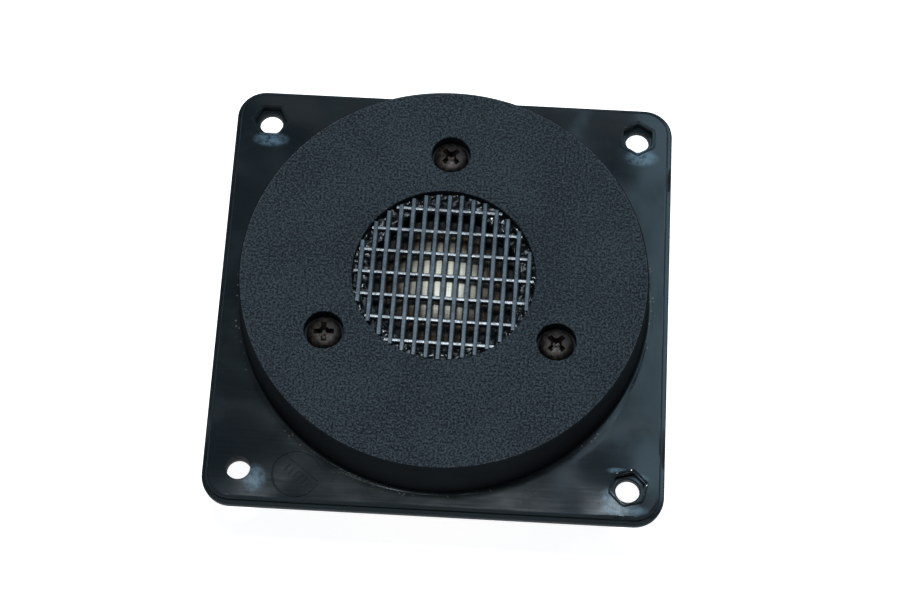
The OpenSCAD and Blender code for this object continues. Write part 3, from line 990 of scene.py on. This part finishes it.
UPRIGHT_PITCH = 2.49
UPRIGHT_WIDTH = 0.75
UPRIGHT_OFFSET = 0.06
CROSS_PITCH = 4.98
CROSS_WIDTH = 0.6
CROSS_OFFSET = 0.08
BAR_DRAFT = 0.7
GRILLE_TURN = -0.95


def bar(name, start, end, width, rear, front, rng, across, lean=0.0):
    """A slightly uneven moulded bar with a rounded crown and a wider foot, along X (across) or Y."""
    stations = 28
    crown, foot = width / 2, (width + BAR_DRAFT) / 2
    outline = rounded([(-foot, rear), (foot, rear), (crown, front), (-crown, front - lean)], 0.3 * width, 5)
    middle = (rear + front) / 2
    loops = []
    drift = rng.uniform(-20, 20)
    for i in range(stations + 1):
        along = start[0] + (end[0] - start[0]) * (i / stations)
        side = start[1] + 0.022 * noise.noise(Vector((along * 0.3, drift, 0)))
        swell = 1 + 0.04 * noise.noise(Vector((along * 0.8, drift, 5)))
        tip = 1.0
        if i in (0, stations):
            tip = rng.uniform(0.93, 1.0)
        loop = []
        for u, z in outline:
            p = (along, side + u * swell * tip, middle + (z - middle) * swell * tip)
            loop.append(p if across else (p[1], p[0], p[2]))
        loops.append(loop)
    return loft(name, loops, closed=False, sharp=50)


def bar_ends(offset, ragged, rng):
    """Both ends of a bar at this offset from the grille's middle, each a little short of the edge."""
    reach = math.sqrt(max(GRILLE_R**2 - offset**2, 0)) - 0.12
    start = -reach + rng.uniform(0, ragged)
    end = reach - rng.uniform(0, ragged)
    return (start, offset), (end, offset)


def build_grille():
    rng = random.Random(11)
    bars = []
    count = int(GRILLE_R / UPRIGHT_PITCH)
    for i in range(-count, count + 1):
        start, end = bar_ends(i * UPRIGHT_PITCH + UPRIGHT_OFFSET, 0.35, rng)
        bars.append(bar("upright", start, end, UPRIGHT_WIDTH, GRILLE_REAR, GRILLE_FRONT, rng, False))
    cross_rear, cross_front, cross_lean = GRILLE_REAR + 0.02, GRILLE_FRONT - 0.2, 0.09
    count = int(GRILLE_R / CROSS_PITCH)
    for i in range(-count, count + 1):
        start, end = bar_ends(i * CROSS_PITCH + CROSS_OFFSET, 0.3, rng)
        bars.append(bar("cross", start, end, CROSS_WIDTH, cross_rear, cross_front, rng, True, cross_lean))
    piece = bars.pop(0)
    piece.name = "grille_bars"
    boolean(piece, bars, "UNION")
    turned(piece, GRILLE_TURN)
    smooth(piece, 40)
    coat(piece, grille_paint())
    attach(piece, "housing")
    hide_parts("grille")


def build_adhesive():
    """A ragged bead on the ledge that rises between the ends of the bars."""
    rows = 26
    inner, outer = THROAT_R - 0.3, OPENING_R - 0.08
    loops = []
    for j in range(rows + 1):
        t = j / rows
        loop = []
        for i in range(ROUND_STEPS):
            angle = TURN * i / ROUND_STEPS
            ragged = 0.5 * noise.noise(Vector((math.cos(angle) * 5, math.sin(angle) * 5, 1)))
            ragged += 0.3 * noise.noise(Vector((math.cos(angle) * 14, math.sin(angle) * 14, 2)))
            start = inner + 0.35 + ragged * 0.9
            radius = start + (outer - start) * t
            x, y = radius * math.cos(angle), radius * math.sin(angle)
            lumps = noise.noise(Vector((x * 0.55, y * 0.55, 4)))
            small = noise.noise(Vector((x * 1.1, y * 1.1, 6)))
            edge = math.sin(math.pi * min(1, t * 2.2) / 2) ** 0.5 if t > 0 else 0
            rise = edge * (0.35 + 0.6 * max(lumps, -0.3) + 0.2 * max(small, 0))
            rise += 0.2 * t * max(0, small)
            top = min(LEDGE_Z + max(rise, 0.02), GRILLE_FRONT - 0.15)
            loop.append((x, y, top))
        loops.append(loop)
    loops.append(circle_loop(outer, LEDGE_Z))
    loops.append([(x, y, LEDGE_Z - 0.02) for x, y, _ in loops[0]])
    piece = loft("adhesive_bead", loops, sharp=80)
    coat(piece, adhesive_paint())
    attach(piece, "housing")
    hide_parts("grille_adhesive")


# -------------------- screws


def recess_cutter(centre, top, turn):
    """A cross recess with tapered wings and a pointed middle."""
    above = 0.4
    wings = []
    for extra in (0, 90):
        loops = []
        for share, length, width in ((0, 2.5, 0.60), (0.55, 1.65, 0.46), (1, 0.9, 0.32)):
            z = top + above - (RECESS_DEPTH + above) * share
            corners = [(-length, -width), (length, -width), (length, width), (-length, width)]
            loops.append([(centre[0] + x, centre[1] + y, z) for x, y in corners])
        wing = loft("wing", loops, closed=False)
        wings.append(turned(wing, turn + extra, centre))
    floor = top - RECESS_DEPTH
    outline = [(0, floor - 0.1), (0.6, floor + 0.2), (1.25, top + above), (0, top + above)]
    core = lathe("core", outline, 32, centre)
    boolean(core, wings, "UNION")
    return core


def screw_outline(tip, low, high):
    """A pan-head screw as (radius, height) points: shank, straight rim of the head, domed crown."""
    shank_r, rim = 2.0, 0.8
    outline = [(0, tip), (1.7, tip), (shank_r, tip + 0.4), (shank_r, low)]
    outline += [(SCREW_HEAD_R - 0.12, low), (SCREW_HEAD_R, low + 0.15), (SCREW_HEAD_R, low + rim)]
    # The crown ends 0.1 mm from the axis, which leaves a hairline hole down the middle.
    steps = 8
    for i in range(1, steps + 1):
        share = i / steps
        a = math.radians(90 * share)
        radius = SCREW_HEAD_R - 1.35 * (1 - math.cos(a)) - 2.15 * share**3
        outline.append((radius, low + rim + (high - low - rim) * math.sin(a)))
    return outline


def build_screws():
    top = COUNTERBORE_Z + SCREW_HEAD_HEIGHT
    outline = screw_outline(level("front_screws", 0), COUNTERBORE_Z, top)
    heads = []
    for degrees, turn in zip(SCREW_ANGLES, RECESS_TURNS):
        centre = on_circle(SCREW_CIRCLE_R, degrees)
        head = lathe("head", outline, 96, centre)
        boolean(head, [recess_cutter(centre, top, turn)], "DIFFERENCE")
        heads.append(head)
    piece = joined("cross_head_screws", heads)
    smooth(piece, 38)
    coat(piece, screw_paint())
    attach(piece, "housing")
    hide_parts("front_screws")


# -------------------- diaphragm


def build_dome():
    height = DOME_TOP_Z - DOME_BASE_Z
    sphere = (DOME_R**2 + height**2) / (2 * height)
    middle = DOME_BASE_Z + height - sphere
    thick = 0.25
    inner_sphere = sphere - thick
    widest = math.asin(DOME_R / sphere)
    inner_widest = math.asin(DOME_R / sphere * 0.985)
    steps = 24
    outside, inside = [], []
    for i in range(steps + 1):
        a = widest * i / steps
        outside.append((sphere * math.sin(a), middle + sphere * math.cos(a)))
        b = inner_widest * i / steps
        inside.append((inner_sphere * math.sin(b), middle + inner_sphere * math.cos(b)))
    inside[-1] = (inside[-1][0], DOME_BASE_Z)
    piece = lathe("dome_shell", outside + inside[::-1], 192)
    coat(piece, dome_paint())
    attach(piece, "diaphragm")
    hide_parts("dome")


def build_surround():
    """The half-round roll, from the dome's edge out to a lip that rests on the ring."""
    inner_r, outer_r, thick = DOME_R + 0.4, 15.5, 0.2
    foot_z, lip_r, lip_z = 9.3, 18.5, RING_TOP_Z + thick
    middle, radius = (inner_r + outer_r) / 2, (outer_r - inner_r) / 2
    profile = [(DOME_R, DOME_BASE_Z + thick), (inner_r, DOME_BASE_Z + thick)]
    profile += arc((middle, DOME_BASE_Z), radius, 165, 0, 14)
    profile += [(outer_r, foot_z), (outer_r + 0.1, lip_z), (lip_r, lip_z), (lip_r, RING_TOP_Z)]
    profile += [(outer_r - thick, RING_TOP_Z), (outer_r - thick, foot_z)]
    profile += arc((middle, DOME_BASE_Z), radius - thick, 0, 180, 14)
    profile += [(DOME_R, DOME_BASE_Z)]
    piece = lathe("surround_roll", profile, 192, sharp=60)
    coat(piece, cloth_paint("doped_roll_cloth", (0.003, 0.0025, 0.0025), (0.010, 0.008, 0.007)))
    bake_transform(piece)
    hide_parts("surround")


# -------------------- CAD parts with finished materials


def dress(material, *nodes):
    """Gives CAD parts that are shown as they are their finished material."""
    for node in nodes:
        target = frame["nodes"][node]
        coat(target, material)
        target.data.polygons.foreach_set("material_index", [0] * len(target.data.polygons))


def dress_metals():
    """Plated and bare steel, brass, bright metal, solder and copper."""
    plated = steel_paint("plated_steel", (0.42, 0.42, 0.41), (0.52, 0.53, 0.54), 0.32, 0.42, rings=True)
    dress(plated, "top_plate", "back_plate")
    bare = steel_paint("bare_steel", (0.32, 0.31, 0.30), (0.42, 0.43, 0.44), 0.35, 0.5, rings=True)
    dress(bare, "pole_piece")
    brass = steel_paint("tinned_brass", (0.45, 0.36, 0.18), (0.66, 0.55, 0.32), 0.25, 0.42)
    dress(brass, "terminal_positive", "terminal_negative")
    bright = steel_paint("bright_metal", (0.42, 0.41, 0.38), (0.62, 0.61, 0.58), 0.25, 0.4)
    dress(bright, "board_screws", "terminal_rivets")
    solder = steel_paint("solder", (0.38, 0.39, 0.40), (0.60, 0.61, 0.62), 0.2, 0.35)
    dress(solder, "solder_joints")
    copper = steel_paint("copper_wire", (0.42, 0.17, 0.07), (0.66, 0.30, 0.14), 0.28, 0.4)
    dress(copper, "voice_coil", "coil_leads")


def dress_minerals():
    """Ferrite, adhesive, card, plastic, laminate, paint, paper and felt."""
    # Node, material, dark and light colour, size of the mottle, least and most roughness, bump depth
    minerals = (
        ("magnet", "ferrite", (0.028, 0.028, 0.03), (0.062, 0.061, 0.062), 0.8, 0.55, 0.8, 0.05),
        ("magnet_adhesive", "amber_adhesive", (0.32, 0.25, 0.1), (0.55, 0.45, 0.22), 1.5, 0.25, 0.4, 0.05),
        ("clamp_gasket", "grey_card", (0.17, 0.14, 0.1), (0.3, 0.26, 0.19), 0.5, 0.8, 0.95, 0.05),
        ("diaphragm_ring", "ring_plastic", (0.01, 0.01, 0.011), (0.022, 0.022, 0.023), 0.6, 0.4, 0.6, 0.03),
        ("terminal_board", "laminate_board", (0.15, 0.065, 0.022), (0.29, 0.14, 0.05), 0.7, 0.3, 0.5, 0.02),
        ("polarity_dot", "red_paint", (0.33, 0.012, 0.009), (0.5, 0.025, 0.015), 0.5, 0.25, 0.4, 0.02),
        ("voice_coil_former", "former_paper", (0.30, 0.16, 0.06), (0.46, 0.27, 0.11), 0.6, 0.6, 0.8, 0.02),
    )
    for node, name, *looks in minerals:
        dress(mineral_paint(name, *looks), node)
    dress(cloth_paint("felt", (0.045, 0.048, 0.055), (0.11, 0.115, 0.13)), "pole_felt")


# -------------------- studio


def look_at(thing, place, target):
    """Puts a camera or a lamp at a place, facing a target."""
    back = (Vector(place) - Vector(target)).normalized()
    right = Vector((0, 0, 1)).cross(back)
    right = right.normalized() if right.length > 1e-6 else Vector((1, 0, 0))
    up = back.cross(right)
    thing.matrix_world = Matrix.Translation(Vector(place)) @ Matrix((right, up, back)).transposed().to_4x4()


def place_camera():
    azimuth, elevation = math.radians(CAMERA_AZIMUTH), math.radians(CAMERA_ELEVATION)
    flat = math.cos(elevation)
    back = Vector((math.sin(azimuth) * flat, -math.cos(azimuth) * flat, math.sin(elevation)))
    target = Vector(CAMERA_TARGET) * MM
    camera = new_object("camera", bpy.data.cameras.new("camera"))
    camera.data.lens = CAMERA_LENS
    camera.data.sensor_width = SENSOR_WIDTH
    camera.data.clip_start = 0.01
    camera.data.clip_end = 20
    look_at(camera, target + back * CAMERA_DISTANCE * MM, target)
    camera.matrix_world = camera.matrix_world @ Matrix.Rotation(math.radians(CAMERA_ROLL), 4, "Z")
    bpy.context.scene.camera = camera


def area_light(name, place, target, size, power, colour=(1, 1, 1)):
    lamp = bpy.data.lights.new(name, "AREA")
    lamp.shape = "RECTANGLE"
    lamp.size, lamp.size_y = size
    lamp.energy = power
    lamp.color = colour
    look_at(new_object(name, lamp), place, target)


def build_floor():
    """A pale floor at the lowest point of the part, with a soft glow so that it stays white."""
    mesh = bpy.data.meshes.new("floor")
    work = bmesh.new()
    bmesh.ops.create_grid(work, x_segments=1, y_segments=1, size=3)
    bmesh.ops.translate(work, verts=work.verts, vec=(0, 0, cad_low[2]))
    work.to_mesh(mesh)
    work.free()
    floor = new_object("floor", mesh)
    paint = Paint("floor", (0.93, 0.93, 0.93), 0.9, Emission_Strength=0.9)
    paint.shader.inputs["Emission Color"].default_value = (1, 1, 1, 1)
    coat(floor, paint.material)


def build_lights():
    """A small key light overhead, a wide one to the upper right, and a faint one behind."""
    world = bpy.data.worlds.new("studio")
    world.use_nodes = True
    background = world.node_tree.nodes["Background"]
    background.inputs["Color"].default_value = (0.75, 0.9, 1.0, 1)
    background.inputs["Strength"].default_value = 0.12
    bpy.context.scene.world = world
    # Places and sizes are metres, and powers are watts.
    area_light("key", (-0.015, 0.040, 0.62), (0, 0, 0), (0.14, 0.07), 3.0, (0.82, 0.93, 1.0))
    area_light("right", (0.275, 0.37, 0.6), (0.275, 0.37, 0), (0.40, 0.44), 1.5, (0.53, 0.80, 1.0))
    area_light("back", (-0.03, 0.44, 0.6), (-0.03, 0.44, 0), (0.24, 0.2), 0.06)
    bpy.context.scene.view_settings.view_transform = "Standard"
    bpy.context.scene.view_settings.look = "None"


place_camera()
build_moulding()
build_gasket()
build_grille()
build_adhesive()
build_screws()
build_dome()
build_surround()
dress_metals()
dress_minerals()
build_floor()
build_lights()
